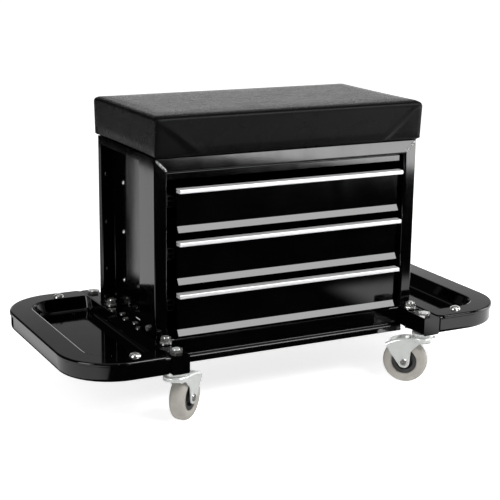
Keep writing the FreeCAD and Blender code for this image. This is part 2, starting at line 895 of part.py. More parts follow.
def drawer_front(name):
    # Folded face: a turned-out top edge that carries the pull, and a flared foot turned back in
    body = new_body(f"drawer_{name}_front")
    middle = pull_centre - drawer_pitch * drawer_rows[name]
    top = middle + panel / 2
    floor = top - (drawer_pitch - length_of("front_gap"))
    flare_top = floor + length_of("flare_height")
    tip = drawer_front_face - length_of("flare_reach")
    hook = drawer_front_face - length_of("pull_bite")
    slant = length_of("flare_reach") / length_of("flare_height")
    outline = [
        (hook, top),
        (drawer_front_back, top),
        (drawer_front_back, flare_top),
        (tip + panel + panel * slant, floor + panel),
        (drawer_front_back, floor + panel),
        (drawer_front_back, floor),
        (tip, floor),
        (tip, floor + panel / 2),
        (drawer_front_face, flare_top + panel / 2),
        (drawer_front_face, top - panel),
        (hook, top - panel),
    ]
    section = new_sketch(body, "YZ_Plane")
    draw_path(section, outline)
    pad(body, section, front_half * 2, middle=True)
    return body


def drawer_pull(name):
    # Extruded strip that clips over the turned-out edge of the drawer face
    body = new_body(f"drawer_{name}_pull")
    middle = pull_centre - drawer_pitch * drawer_rows[name]
    half = length_of("pull_height") / 2
    back = drawer_front_face
    front = back - length_of("pull_depth")
    slot = panel / 2 + shaft_clearance
    slot_end = back - length_of("pull_bite") - shaft_clearance
    outline = [
        (back, middle - half),
        (back, middle - slot),
        (slot_end, middle - slot),
        (slot_end, middle + slot),
        (back, middle + slot),
        (back, middle + half),
        (front, middle + half),
        (front, middle - half),
    ]
    radii = [0] * 6 + [length_of("pull_corner")] * 2
    section = new_sketch(body, "YZ_Plane")
    draw_path(section, outline, radii)
    pad(body, section, (front_half + length_of("pull_overhang")) * 2, middle=True)
    return body


def drawer_runners(name):
    # A headed runner on each side of the drawer, which slides inside the lipped channel
    pieces = []
    centre = slide_centre(drawer_rows[name])
    plate = drawer_half + length_of("slide_sheet")
    head_outer = opening_half - length_of("runner_head_gap")
    head_inner = head_outer - length_of("slide_sheet") * 2
    head_half = length_of("slide_height") / 2 - length_of("slide_sheet") - length_of("slide_clearance")
    web_half = length_of("runner_web") / 2
    plate_half = length_of("runner_height") / 2
    for side, way in sides.items():
        lower = [
            (drawer_half, -plate_half),
            (plate, -plate_half),
            (plate, -web_half),
            (head_inner, -web_half),
            (head_inner, -head_half),
            (head_outer, -head_half),
        ]
        half_profile = [(x * way, centre + z) for x, z in lower]
        upper = [(x * way, centre - z) for x, z in reversed(lower)]
        body = new_body(f"drawer_{name}_{side}_runner")
        section = new_sketch(body, "XZ_Plane", length_of("drawer_corner") - drawer_back)
        draw_path(section, half_profile + upper)
        pad(body, section, slide_length - length_of("runner_short"))
        pieces.append(body)
    return group(f"drawer_{name}_runners", pieces)


def seat_board():
    # Plywood base inside the upholstery
    body = new_body("seat_board")
    half_x, half_y = board_half_width, board_half_depth
    plate = new_sketch(body, "XY_Plane", cabinet_top)
    corners = [(-half_x, -half_y), (half_x, -half_y), (half_x, half_y), (-half_x, half_y)]
    draw_path(plate, corners, [length_of("board_corner")] * 4)
    pad(body, plate, length_of("board_thickness"))
    bite = length_of("seat_screw_bite") + length_of("soft_clearance")
    drilling = new_sketch(body, "XY_Plane", cabinet_top + bite)
    for x, y in seat_screw_places():
        draw_circle(drilling, (x, y), length_of("seat_screw_shank") + shaft_clearance)
    pocket(body, drilling, bite + overrun)
    return body


def seat_screws():
    # Dome-headed screws up through the lid into the seat board
    pieces = []
    for index, (x, y) in enumerate(seat_screw_places()):
        name = f"seat_screw_{index}"
        under = cabinet_top - panel
        head = dome(f"{name}_head", length_of("seat_screw_head"), length_of("seat_screw_dome"),
                    x, y, under, "down")
        reach = panel + length_of("seat_screw_bite")
        stem = rod(f"{name}_shank", length_of("seat_screw_shank"), reach, x, y, under)
        pieces.append(join(name, [head, stem]))
    return group("seat_screws", pieces)


def drawn_in_ring(half_x, half_y, draw_in, corner, height):
    # Level outline of the cushion: four sides bowed inwards, joined by small corner arcs
    corners = [(1, -1), (1, 1), (-1, 1), (-1, -1)]
    edges = []
    for index, (across, along) in enumerate(corners):
        before, after = (Vector(0, -along, 0), Vector(-across, 0, 0))
        if index % 2 == 0:
            before, after = after, before
        tip = Vector(across * half_x, along * half_y, height)
        start, finish = tip + before * corner, tip + after * corner
        inset = corner * (1 - arc_half_turn)
        middle = tip + Vector(-across * inset, -along * inset, 0)
        edges.append(Part.Arc(start, middle, finish).toShape())
        across_next, along_next = corners[(index + 1) % 4]
        far_tip = Vector(across_next * half_x, along_next * half_y, height)
        far = far_tip - after * corner
        bow = (finish + far) / 2
        centre = Vector(0, 0, height)
        inward = centre - bow
        inward.normalize()
        edges.append(Part.Arc(finish, bow + inward * draw_in, far).toShape())
    return Part.Wire(edges)


def seat_cushion():
    # Upholstered pad: crowned top, rolled edges, sides drawn in between the corners
    half_x, half_y = number_of(seat_half_width), number_of(seat_half_depth)
    floor = number_of(cabinet_top) + lengths["soft_clearance"]
    top = floor + lengths["seat_thickness"] - lengths["soft_clearance"]
    edge, corner = lengths["seat_edge"], lengths["seat_corner"]
    crown, draw_in = lengths["seat_crown"], lengths["seat_draw_in"]
    level_top = top - lengths["crown_shoulder"]
    rolled = edge * (1 - lean_shares[0])
    levels = [
        (lengths["seat_foot_inset"], floor),
        (0, floor + lengths["seat_foot_rise"]),
        (0, level_top - edge),
        (rolled, level_top - edge * lean_shares[1]),
        (edge * lean_shares[1], level_top - rolled),
        (edge, level_top),
    ]
    rings = []
    for inset, height in levels:
        rings.append(drawn_in_ring(half_x - inset, half_y - inset, draw_in, corner, height))
    pad_body = Part.makeLoft(rings, True, True)
    # Low dome over the rolled edge: a slice of a large ball
    reach = ((half_x - edge) ** 2 + (half_y - edge) ** 2) ** 0.5
    ball_radius = (reach ** 2 + crown ** 2) / (2 * crown)
    rise = [(0, top - level_top), (0.5, (top - level_top) * 0.7), (1, 0)]
    cap_rings = []
    for share, lift in reversed(rise[1:]):
        shrink = edge + (half_y - edge) * 0.5 * (1 - share)
        cap_rings.append(drawn_in_ring(half_x - shrink, half_y - shrink, draw_in * share,
                                       corner, level_top + lift))
    last = edge + (half_y - edge) * 0.8
    cap_rings.append(drawn_in_ring(half_x - last, half_y - last, draw_in / 2, corner, top))
    cap = Part.makeLoft(cap_rings, True, True)
    whole = pad_body.fuse(cap).removeSplitter()
    # Recess for the board in the underside
    gap = lengths["soft_clearance"]
    recess_x = 2 * (number_of(board_half_width) + gap)
    recess_y = 2 * (number_of(board_half_depth) + gap)
    deep = lengths["board_thickness"] + lengths["overrun"]
    board_floor = number_of(cabinet_top) + gap - lengths["overrun"]
    corner_of_recess = Vector(-recess_x / 2, -recess_y / 2, board_floor)
    recess = Part.makeBox(recess_x, recess_y, deep, corner_of_recess)
    upright = [one for one in recess.Edges if abs(one.tangentAt(one.FirstParameter).z) > 1 - match]
    recess = recess.makeFillet(lengths["board_corner"], upright)
    cushion = document.addObject("Part::Feature", "seat_cushion")
    cushion.Label = "seat_cushion"
    cushion.Shape = whole.cut(recess)
    cushion.Placement = FreeCAD.Placement()
    return cushion


def tray_centre_line():
    # Where the middle of the bent tube runs, and its bend radius
    half = length_of("tray_tube_side") / 2
    reach = tray_end - half
    leg = tray_half_width - half
    start = beam_outer + length_of("tray_tube_gap")
    return start, reach, leg, length_of("tray_tube_corner") - half


def tray_tube(side):
    # Square tube bent in a U round three sides of the tray
    way = sides[side]
    body = new_body(f"{side}_tray_tube")
    start, reach, leg, radius = tray_centre_line()
    middle = beam_top - length_of("tray_tube_side") / 2
    route = new_sketch(body, "XY_Plane", middle)
    points = [
        (start * way, leg * -1),
        (reach * way, leg * -1),
        (reach * way, leg),
        (start * way, leg),
    ]
    draw_path(route, points, [0, radius, radius, 0], closed=False)
    section = new_sketch(body, "YZ_Plane", start * way, (leg * -1, middle))
    half = length_of("tray_tube_side") / 2
    bore = half - length_of("tray_tube_wall")
    corner = length_of("tray_tube_edge")
    for extent, rounding in ((half, corner), (bore, corner - length_of("tray_tube_wall"))):
        square = [(-extent, -extent), (extent, -extent), (extent, extent), (-extent, extent)]
        draw_path(section, square, [rounding] * 4)
    document.recompute()
    sweep = body.newObject("PartDesign::AdditivePipe", f"{body.Name}_sweep")
    sweep.Profile = section
    sweep.Spine = (route, [f"Edge{index + 1}" for index in range(len(route.Shape.Edges))])
    document.recompute()
    drilling = new_sketch(body, "XY_Plane", beam_top + overrun)
    for along in (-1, 1):
        spot = (tray_screw_x * way, tray_screw_y * along)
        draw_circle(drilling, spot, length_of("tray_screw_shank") + shaft_clearance)
    pocket(body, drilling, beam_side / 2 + overrun)
    return body


def tray_spigots():
    # Square plugs on the cross tubes that the tray tubes push over
    pieces = []
    half = length_of("spigot_side") / 2
    square = [(-half, -half), (half, -half), (half, half), (-half, half)]
    start, reach, leg, radius = tray_centre_line()
    middle = beam_top - length_of("tray_tube_side") / 2
    for side, way in sides.items():
        for along in (-1, 1):
            body = new_body(f"spigot_{side}_{'front' if along < 0 else 'back'}")
            section = new_sketch(body, "YZ_Plane", beam_outer * way, (leg * along, middle))
            draw_path(section, square, [length_of("spigot_edge")] * 4)
            pad(body, section, length_of("spigot_length"), reverse=way < 0)
            pieces.append(body)
    return group("tray_spigots", pieces)


def rim_outline(way, inset):
    # Tray rim seen from above: round outer corners, ends beside the tube cut at a slant
    near = beam_outer + length_of("basin_gap")
    far = tray_end + length_of("rim_overhang") - inset
    wide = tray_half_width + length_of("rim_overhang") - inset
    slant = length_of("rim_chamfer")
    points = [
        (near * way, -(wide - slant)),
        ((near + slant) * way, -wide),
        (far * way, -wide),
        (far * way, wide),
        ((near + slant) * way, wide),
        (near * way, wide - slant),
    ]
    corner = length_of("tray_tube_corner") + length_of("rim_overhang") - inset
    return points, [0, 0, corner, corner, 0, 0]


def basin_outline(way, inset, narrow):
    # Basin seen from above: square against the cross tube, round at the far corners
    near = beam_outer + length_of("basin_gap") + inset
    far = tray_end + length_of("rim_overhang") - length_of("basin_rim") - inset - narrow
    wide = tray_half_width + length_of("rim_overhang")
    wide = wide - length_of("basin_rim_side") - inset - narrow
    corner = length_of("basin_corner") - inset - narrow
    small = length_of("basin_near_corner") - inset
    points = [(near * way, -wide), (far * way, -wide), (far * way, wide), (near * way, wide)]
    return points, [small, corner, corner, small]


def basin_form(body, way, inset, upper, lower, flare):
    # Sloping bowl between two levels, flared at its mouth and rounded at its floor
    levels = (
        (upper, -flare),
        (upper - flare * (1 - lean_shares[0]), -flare * lean_shares[1]),
        (upper - flare, flare * 0),
        (lower, length_of("basin_slope")),
    )
    sections = []
    for level, narrow in levels:
        outline = new_sketch(body, "XY_Plane", level)
        points, radii = basin_outline(way, inset, narrow)
        draw_path(outline, points, radii)
        sections.append(outline)
    document.recompute()
    bowl = body.newObject("PartDesign::AdditiveLoft", f"{body.Name}_bowl")
    bowl.Profile = sections[0]
    bowl.Sections = [(outline, [""]) for outline in sections[1:]]
    bowl.Ruled = True
    floor_round = length_of("basin_floor_round") + length_of("tray_sheet") - inset
    round_edges(body, floor_round, lambda middle, direction: (
        abs(middle.z - number_of(lower)) < match))


def tray_pan(side):
    # Pressed tray: flat rim with a rounded, turned-down edge, and a basin with sloping walls
    way = sides[side]
    body = new_body(f"{side}_tray_pan")
    skin = length_of("tray_sheet")
    floor = beam_top + skin - length_of("basin_depth")
    rim = new_sketch(body, "XY_Plane", beam_top + skin - length_of("rim_drop"))
    points, radii = rim_outline(way, skin * 0)
    draw_path(rim, points, radii)
    pad(body, rim, length_of("rim_drop"))
    top = beam_top + skin
    clear_of_ends = number_of(beam_outer + length_of("basin_gap") + length_of("rim_chamfer")) + match
    round_edges(body, length_of("rim_edge"), lambda middle, direction: (
        abs(middle.z - number_of(top)) < match and abs(middle.x) > clear_of_ends))
    hollow = new_sketch(body, "XY_Plane", beam_top + skin - length_of("rim_drop"))
    points, radii = rim_outline(way, skin)
    points[:2] = [((beam_outer - overrun) * way, points[1][1])]
    points[-2:] = [((beam_outer - overrun) * way, points[-2][1])]
    draw_path(hollow, points, radii[1:-1])
    pocket(body, hollow, length_of("rim_drop") - skin, reverse=True)
    round_edges(body, length_of("rim_edge") - skin, lambda middle, direction: (
        abs(middle.z - number_of(beam_top)) < match and abs(middle.x) > clear_of_ends))
    # The basin's outside is added under the rim, then its inside is taken out
    flare = length_of("basin_flare")
    basin_form(body, way, skin * 0, beam_top, floor - skin, flare + skin)
    inside = new_body(f"{side}_tray_inside")
    basin_form(inside, way, skin, top, floor, flare)
    document.recompute()
    taken = body.newObject("PartDesign::Boolean", f"{body.Name}_inside")
    taken.Type = "Cut"
    taken.Group = [inside]
    document.recompute()
    drilling = new_sketch(body, "XY_Plane", beam_top + overrun)
    for along in (-1, 1):
        spot = (tray_screw_x * way, tray_screw_y * along)
        draw_circle(drilling, spot, length_of("tray_screw_shank") + shaft_clearance)
    pocket(body, drilling, overrun * 2)
    return body


def tray_screws():
    # Dome-headed screws through the rim into the tray tubes
    pieces = []
    top = beam_top + length_of("tray_sheet")
    reach = length_of("tray_sheet") + length_of("tray_screw_bite")
    for side, way in sides.items():
        for along in (-1, 1):
            name = f"tray_screw_{side}_{'front' if along < 0 else 'back'}"
            x, y = tray_screw_x * way, tray_screw_y * along
            head = dome(f"{name}_head", length_of("tray_screw_head"), length_of("tray_screw_dome"),
                        x, y, top)
            stem = rod(f"{name}_shank", length_of("tray_screw_shank"), reach, x, y, top - reach)
            pieces.append(join(name, [head, stem]))
    return group("tray_screws", pieces)


def cabinet_bolts():
    # Bolts up through the tubes and the cabinet's feet
    pieces = []
    head_height = length_of("bolt_head_height")
    stack = base_sheet + length_of("washer_sheet") + length_of("nut_height") + length_of("bolt_end")
    for side, way in sides.items():
        for spot, (x, y) in bolt_places.items():
            name = f"bolt_{side}_{spot}"
            across = length_of("bolt_head_across")
            head = hexagon(f"{name}_head", across, head_height, x * way, y, beam_floor - head_height)
            stem = rod(f"{name}_shank", bolt_shank, beam_side + stack, x * way, y, beam_floor)
            pieces.append(join(name, [head, stem]))
    return group("cabinet_bolts", pieces)


def cabinet_nuts():
    # A washer and a nut on each cabinet bolt
    pieces = []
    washer_sheet = length_of("washer_sheet")
    for side, way in sides.items():
        for spot, (x, y) in bolt_places.items():
            name = f"{side}_{spot}"
            bore = bolt_shank + shaft_clearance
            ring = rod(f"washer_{name}_blank", length_of("washer_outer"), washer_sheet, x * way, y, base_top)
            hole = rod(f"washer_{name}_hole", bore, washer_sheet, x * way, y, base_top)
            pieces.append(cut(f"washer_{name}", ring, hole))
            seat = base_top + washer_sheet
            tall = length_of("nut_height")
            blank = hexagon(f"nut_{name}_blank", length_of("bolt_head_across"), tall, x * way, y, seat)
            hole = rod(f"nut_{name}_hole", bore, tall, x * way, y, seat)
            pieces.append(cut(f"nut_{name}", blank, hole))
    return group("cabinet_nuts", pieces)


def caster_nuts():
    # Low nuts on the caster stems, on top of the tubes
    pieces = []
    tall = length_of("stem_nut_height")
    for side, way in sides.items():
        for along in (-1, 1):
            name = f"stem_nut_{side}_{'front' if along < 0 else 'back'}"
            x, y = caster_x * way, caster_y * along
            blank = hexagon(f"{name}_blank", length_of("stem_nut_across"), tall, x, y, beam_top)
            hole = rod(f"{name}_hole", stem_radius + shaft_clearance, tall, x, y, beam_top)
            pieces.append(cut(name, blank, hole))
    return group("caster_nuts", pieces)


# Casters, each drawn about its own swivel axis with the wheel trailing along +X, then turned

race_floor = beam_floor - length_of("race_height")
cup_top = race_floor - length_of("race_gap")
cup_floor = cup_top - length_of("cup_height")
hood_top = cup_top - length_of("hood_drop")
trail = length_of("caster_trail")
fork_half = length_of("hub_boss_width") / 2 + length_of("race_gap") + length_of("fork_sheet")


def at_caster(body, corner):
    along, side = corner.split("_")
    place(body, caster_x * sides[side], caster_y * (-1 if along == "front" else 1))
    body.Placement.Rotation = Rotation(Vector(0, 0, 1), caster_headings[corner])
    return body


def caster_head(corner):
    # Fixed half of the swivel: threaded stem, necked race and the flange that holds the fork up
    body = new_body(f"caster_{corner}_head")
    stem_top = beam_top + length_of("stem_nut_height") + length_of("stem_proud")
    flange = length_of("kingpin_flange")
    race = length_of("race_radius")
    neck = length_of("race_neck")
    rim_floor = beam_floor - length_of("race_rim")
    flange_top = cup_floor - length_of("race_gap")
    profile = [
        (0, flange_top - length_of("kingpin_height")),
        (flange, flange_top - length_of("kingpin_height")),
        (flange, flange_top),
        (stem_radius, flange_top),
        (stem_radius, race_floor),
        (neck, race_floor),
        (neck, rim_floor),
        (race, rim_floor),
        (race, beam_floor),
        (stem_radius, beam_floor),
        (stem_radius, stem_top),
        (0, stem_top),
    ]
    section = new_sketch(body, "XZ_Plane")
    draw_path(section, profile)
    spin(body, section)
    return at_caster(body, corner)


def hood_height(radius, across):
    # Height above the arc's centre at which the hood's arc has run out by the given reach
    drop = f"sqrt({text_of(radius)} ^ 2 - {text_of(across)} ^ 2)"
    return Size(drop, (number_of(radius) ** 2 - number_of(across) ** 2) ** 0.5)


def caster_fork(corner):
    # Stamped fork: ball cup over the swivel, arched hood over the wheel, two tapering legs
    body = new_body(f"caster_{corner}_fork")
    sheet_metal = length_of("fork_sheet")
    flat = length_of("fork_flat")
    tail = length_of("fork_tail")
    hood = length_of("hood_radius")
    nose = length_of("fork_nose")
    end = length_of("fork_leg_end")
    front = length_of("fork_leg_front")
    hood_centre = hood_top - hood
    tip = hood_centre + hood_height(hood, tail - flat)
    waist = hood_top - length_of("fork_leg_waist") + length_of("fork_sheet")
    lean_x = trail + end * lean_shares[0]
    lean_z = wheel_radius - end * lean_shares[1]
    side_view = new_sketch(body, "XZ_Plane")
    draw_arc(side_view, (flat, hood_top), (tail, tip), (flat, hood_centre), hood)
    draw_arc(side_view, (lean_x, lean_z), (trail - end, wheel_radius), (trail, wheel_radius), end)
    draw_path(side_view, [
        (trail - end, wheel_radius),
        (front, waist),
        (length_of("fork_shoulder_x"), hood_top - length_of("fork_leg_shoulder") + length_of("fork_skirt")),
        (-nose, hood_top - length_of("fork_skirt")),
        (-nose, hood_top),
        (flat, hood_top),
    ], closed=False)
    draw_path(side_view, [
        (tail, tip),
        (tail - length_of("fork_lip"), tip - length_of("fork_lip_drop")),
        (lean_x, lean_z),
    ], closed=False)
    pad(body, side_view, fork_half * 2, middle=True)

    def along_hood(middle, direction):
        above = middle.z > number_of(tip + sheet_metal * 2)
        return above and middle.x > number_of(-nose / 4) and abs(direction.y) < match

    round_edges(body, length_of("fork_bend"), along_hood)
    inside = new_sketch(body, "XZ_Plane")
    under = hood - sheet_metal
    inner_tip = hood_centre + hood_height(under, tail - flat)
    draw_arc(inside, (flat, hood_top - sheet_metal), (tail, inner_tip), (flat, hood_centre), under)
    draw_path(inside, [
        (tail, inner_tip),
        (tail + overrun, inner_tip),
        (tail + overrun, 0),
        (-(nose + overrun), 0),
        (-(nose + overrun), hood_top - sheet_metal),
        (flat, hood_top - sheet_metal),
    ], closed=False)
    pocket(body, inside, (fork_half - sheet_metal) * 2, middle=True)
    round_edges(body, length_of("fork_bend") - sheet_metal, lambda middle, direction: (
        along_hood(middle, direction) and abs(middle.y) < number_of(fork_half - sheet_metal) + match))
    cup = new_sketch(body, "XY_Plane", cup_floor)
    draw_circle(cup, (0, 0), length_of("cup_radius"))
    pad(body, cup, length_of("cup_height"))
    round_edges(body, length_of("cup_edge"), lambda middle, direction: (
        abs(middle.z - number_of(cup_top)) < match))
    kingpin_hole = new_sketch(body, "XY_Plane", cup_top + overrun)
    draw_circle(kingpin_hole, (0, 0), stem_radius + shaft_clearance)
    pocket(body, kingpin_hole, length_of("cup_height") + overrun * 2)
    axle_hole = new_sketch(body, "XZ_Plane", fork_half + overrun)
    draw_circle(axle_hole, (trail, wheel_radius), length_of("axle_radius") + shaft_clearance)
    pocket(body, axle_hole, fork_half * 2 + overrun * 2)
    return at_caster(body, corner)


def caster_axle(corner):
    # Headed pin through both legs of the fork
    body = new_body(f"caster_{corner}_axle")
    radius = length_of("axle_radius")
    head = length_of("axle_head")
    out = fork_half + length_of("axle_head_height")
    profile = [
        (-out, 0),
        (-out, head - length_of("axle_head_slope")),
        (-fork_half, head),
        (-fork_half, radius),
        (fork_half, radius),
        (fork_half, head),
        (out, head - length_of("axle_head_slope")),
        (out, 0),
    ]
    section = new_sketch(body, "YZ_Plane", trail, (0, wheel_radius))
    draw_path(section, profile)
    spin(body, section, "H_Axis")
    return at_caster(body, corner)


def caster_tyre(corner):
    # Moulded tread ring with rounded shoulders
    body = new_body(f"caster_{corner}_tyre")
    half = length_of("wheel_width") / 2
    inner = length_of("hub_radius")
    shoulder = length_of("tread_corner")
    small = length_of("tread_edge")
    profile = [(-half, inner), (-half, wheel_radius), (half, wheel_radius), (half, inner)]
    section = new_sketch(body, "YZ_Plane", trail, (0, wheel_radius))
    draw_path(section, profile, [small, shoulder, shoulder, small])
    spin(body, section, "H_Axis")
    return at_caster(body, corner)


def caster_hub(corner):
    # Wheel centre: rim, thin web and long boss round the axle
    body = new_body(f"caster_{corner}_hub")
    rim = length_of("hub_rim_width") / 2
    web = length_of("hub_web") / 2
    boss_end = length_of("hub_boss_width") / 2
    bore = length_of("axle_radius") + shaft_clearance
    half_profile = [
        (boss_end, bore),
        (boss_end, length_of("hub_boss")),
        (web, length_of("hub_boss")),
        (web, length_of("hub_rim_inner")),
        (rim, length_of("hub_rim_inner")),
        (rim, length_of("hub_radius")),
    ]
    mirrored = [(-y, radius) for y, radius in reversed(half_profile)]
    section = new_sketch(body, "YZ_Plane", trail, (0, wheel_radius))
    draw_path(section, half_profile + mirrored)
    spin(body, section, "H_Axis")
    return at_caster(body, corner)


def build():
    parts = [
        seat_cushion(),
        seat_board(),
        seat_screws(),
        cabinet_top_panel(),
        cabinet_back_panel(),
        cabinet_bottom(),
        slide_rivets(),
        panel_bolts(),
        beam_end_caps(),
        lower_rail("front"),
        lower_rail("back"),
        tray_spigots(),
        tray_screws(),
        tool_eyelets(),
        cabinet_bolts(),
        cabinet_nuts(),
        caster_nuts(),
    ]
    for side in sides:
        for maker in (side_panel, slide_rails, cross_beam, tray_tube, tray_pan):
            parts.append(maker(side))
    for name in drawer_rows:
        for maker in (drawer_box, drawer_front, drawer_pull, drawer_runners):
            parts.append(maker(name))
    for corner in caster_headings:
        for maker in (caster_head, caster_fork, caster_axle, caster_tyre, caster_hub):
            parts.append(maker(corner))
    return parts


def check(parts):
    for thing in document.Objects:
        if "Invalid" in thing.State or "Error" in thing.State:
            raise ValueError(f"{thing.Label} did not compute: {thing.State}")
    for part in parts:
        if part.Shape.isNull() or not part.Shape.isValid():
            raise ValueError(f"{part.Label} has no sound shape")


sub_parts = build()
document.recompute()
check(sub_parts)
os.makedirs("parts", exist_ok=True)
for part in sub_parts:
    part.Shape.exportStep(f"parts/{part.Label}.step")
    print(f"{part.Label}: {len(part.Shape.Solids)} solid(s), {part.Shape.Volume / 1000:.1f} cm3")
print(f"{len(sub_parts)} sub-parts written")
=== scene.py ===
import json
import math
import bmesh
import bpy
from mathutils import Matrix, Vector


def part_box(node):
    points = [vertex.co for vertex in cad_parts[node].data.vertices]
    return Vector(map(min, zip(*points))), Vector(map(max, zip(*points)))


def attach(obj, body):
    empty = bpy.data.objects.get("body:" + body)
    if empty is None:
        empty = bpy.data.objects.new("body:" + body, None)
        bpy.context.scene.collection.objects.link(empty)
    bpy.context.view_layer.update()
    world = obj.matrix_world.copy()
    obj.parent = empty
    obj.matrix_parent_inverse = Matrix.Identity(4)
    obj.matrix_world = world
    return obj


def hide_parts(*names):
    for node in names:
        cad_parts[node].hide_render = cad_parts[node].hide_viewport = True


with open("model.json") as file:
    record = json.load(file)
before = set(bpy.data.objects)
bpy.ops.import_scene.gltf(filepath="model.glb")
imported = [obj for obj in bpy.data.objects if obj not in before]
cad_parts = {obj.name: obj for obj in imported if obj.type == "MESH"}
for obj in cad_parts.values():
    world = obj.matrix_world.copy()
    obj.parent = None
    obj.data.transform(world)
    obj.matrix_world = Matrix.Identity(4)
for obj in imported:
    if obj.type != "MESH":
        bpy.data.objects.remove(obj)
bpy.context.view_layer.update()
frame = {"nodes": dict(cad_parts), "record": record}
slotOfNode = {entry["node"]: entry["material_slot"] for entry in frame["record"]["subparts"]}
mm = 0.001
print("frame loaded:", len(frame["nodes"]), "nodes")


class Wire:
    # one output socket; arithmetic on it adds Math nodes
    def __init__(self, net, socket):
        self.net = net
        self.socket = socket

    def math(self, operation, other):
        return self.net.node("ShaderNodeMath", {"operation": operation}, [self, other])

    def __add__(self, other):
        return self.math("ADD", other)

    def __mul__(self, other):
        return self.math("MULTIPLY", other)

    __radd__ = __add__
    __rmul__ = __mul__


class Net:
    # the node tree of one material or of the world
    def __init__(self, tree):
        self.tree = tree
        tree.nodes.clear()

    def node(self, kind, settings=None, inputs=None, output=0):
        made = self.tree.nodes.new(kind)
        for name, value in (settings or {}).items():
            setattr(made, name, value)
        named = inputs.items() if isinstance(inputs, dict) else enumerate(inputs or [])
        for key, value in named:
            if isinstance(value, Wire):
                self.tree.links.new(value.socket, made.inputs[key])
            elif value is not None:
                made.inputs[key].default_value = value
        return Wire(self, made.outputs[output]) if made.outputs else made

    def place(self, stretch=(1, 1, 1)):
        spot = self.node("ShaderNodeTexCoord", output="Object")
        return self.node("ShaderNodeMapping", None, {"Vector": spot, "Scale": stretch})

    def noise(self, scale, detail=3, roughness=0.5, stretch=(1, 1, 1), distortion=0.0):
        return self.node("ShaderNodeTexNoise", None,
                         {"Vector": self.place(stretch), "Scale": scale, "Detail": detail,
                          "Roughness": roughness, "Distortion": distortion})

    def fade(self, value, start, stop):
        # a new ramp runs from black to white
        made = self.node("ShaderNodeValToRGB", None, {"Fac": value})
        black, white = made.socket.node.color_ramp.elements
        black.position = start
        white.position = stop
        return made

    def step(self, value, start, stop):
        return self.node("ShaderNodeMapRange", {"interpolation_type": "SMOOTHSTEP"},
                         {"Value": value, "From Min": start, "From Max": stop})

    def mix(self, factor, first, second):
        return self.node("ShaderNodeMix", {"data_type": "RGBA"}, {0: factor, 6: first, 7: second}, output=2)

    def bump(self, height, depth, normal=None):
        return self.node("ShaderNodeBump", None,
                         {"Height": height, "Distance": depth, "Strength": 1.0, "Normal": normal})

    def shader(self, base, roughness, normal, **others):
        inputs = {"Base Color": base, "Roughness": roughness, "Normal": normal, **others}
        return self.node("ShaderNodeBsdfPrincipled", None, inputs)


def colour(red, green=None, blue=None):
    return (red, red if green is None else green, red if blue is None else blue, 1)


def newMaterial(name, build, finish):
    material = bpy.data.materials.new(name)
    material.use_nodes = True
    net = Net(material.node_tree)
    net.node("ShaderNodeOutputMaterial", None, {"Surface": build(net, finish)})
    return material


# a noise is given as scale, detail, roughness, stretch and distortion, as far as it needs them;
# a fade as the values where it starts and ends
blackPaint = {"base": 0.0006, "dust": 0.0015, "dustBlue": 1.05, "cloud": (14, 5, 0.6),
              "cloudFade": (0.45, 0.8), "smudge": (38, 6, 0.65, (1, 1, 0.35)), "roughness": 0.02,
              "roughnessSpread": 0.09, "wave": (8, 1), "waveDepth": 0.1 * mm, "peel": (700, 2),
              "peelDepth": 0.006 * mm, "ior": 1.5}


def paintSurface(net, paint):
    dust = colour(paint["dust"], paint["dust"], paint["dust"] * paint["dustBlue"])
    clouded = net.fade(net.noise(*paint["cloud"]), *paint["cloudFade"])
    base = net.mix(clouded, colour(paint["base"]), dust)
    roughness = net.noise(*paint["smudge"]) * paint["roughnessSpread"] + paint["roughness"]
    wave = net.bump(net.noise(*paint["wave"]), paint["waveDepth"])
    peel = net.bump(net.noise(*paint["peel"]), paint["peelDepth"], normal=wave)
    return net.shader(base, roughness, peel, IOR=paint["ior"])


vinyl = {"base": 0.0022, "worn": 0.004, "broad": (5, 4, 0.55), "broadFade": (0.35, 0.75),
         "patch": (26, 5, 0.6), "roughness": 0.22, "roughnessSpread": 0.1, "grainScale": 1150,
         "grainJitter": 0.9, "grainFade": (0.0, 0.22), "grainDepth": 0.05 * mm,
         "crease": (60, 2, 0.5, (1, 1, 0.5)), "creaseDepth": 0.16 * mm, "ior": 1.17}


def vinylSurface(net, skin):
    cells = net.node("ShaderNodeTexVoronoi", {"feature": "DISTANCE_TO_EDGE"},
                     {"Vector": net.place(), "Scale": skin["grainScale"], "Randomness": skin["grainJitter"]})
    grain = net.fade(cells, *skin["grainFade"])
    worn = net.fade(net.noise(*skin["broad"]), *skin["broadFade"])
    base = net.mix(worn, colour(skin["base"]), colour(skin["worn"]))
    roughness = net.noise(*skin["patch"]) * skin["roughnessSpread"] + skin["roughness"]
    crease = net.bump(net.noise(*skin["crease"]), skin["creaseDepth"])
    return net.shader(base, roughness, net.bump(grain, skin["grainDepth"], normal=crease), IOR=skin["ior"])


# all metals share the wear; each has a scratch scale of its own
metalWear = {"patch": (90, 5, 0.6), "patchFade": (0.35, 0.7), "sheen": (150, 4, 0.6), "scratch": (3, 0.6)}
zinc = {"base": (0.95, 0.95, 0.93), "dull": (0.80, 0.80, 0.78), "metallic": 0.85, "roughness": 0.08,
        "roughnessSpread": 0.14, "scratchScale": 260, "scratchDepth": 0.02 * mm, "stretch": (1, 1, 1)}
casterZinc = {"base": (0.86, 0.88, 0.86), "dull": (0.80, 0.82, 0.80), "metallic": 0.45, "roughness": 0.12,
              "roughnessSpread": 0.06, "scratchScale": 180, "scratchDepth": 0.004 * mm, "stretch": (1, 1, 1)}
aluminium = {"base": (0.86, 0.86, 0.86), "dull": (0.79, 0.79, 0.80), "metallic": 0.5, "roughness": 0.28,
             "roughnessSpread": 0.12, "scratchScale": 900, "scratchDepth": 0.012 * mm,
             "stretch": (0.02, 1, 1)}
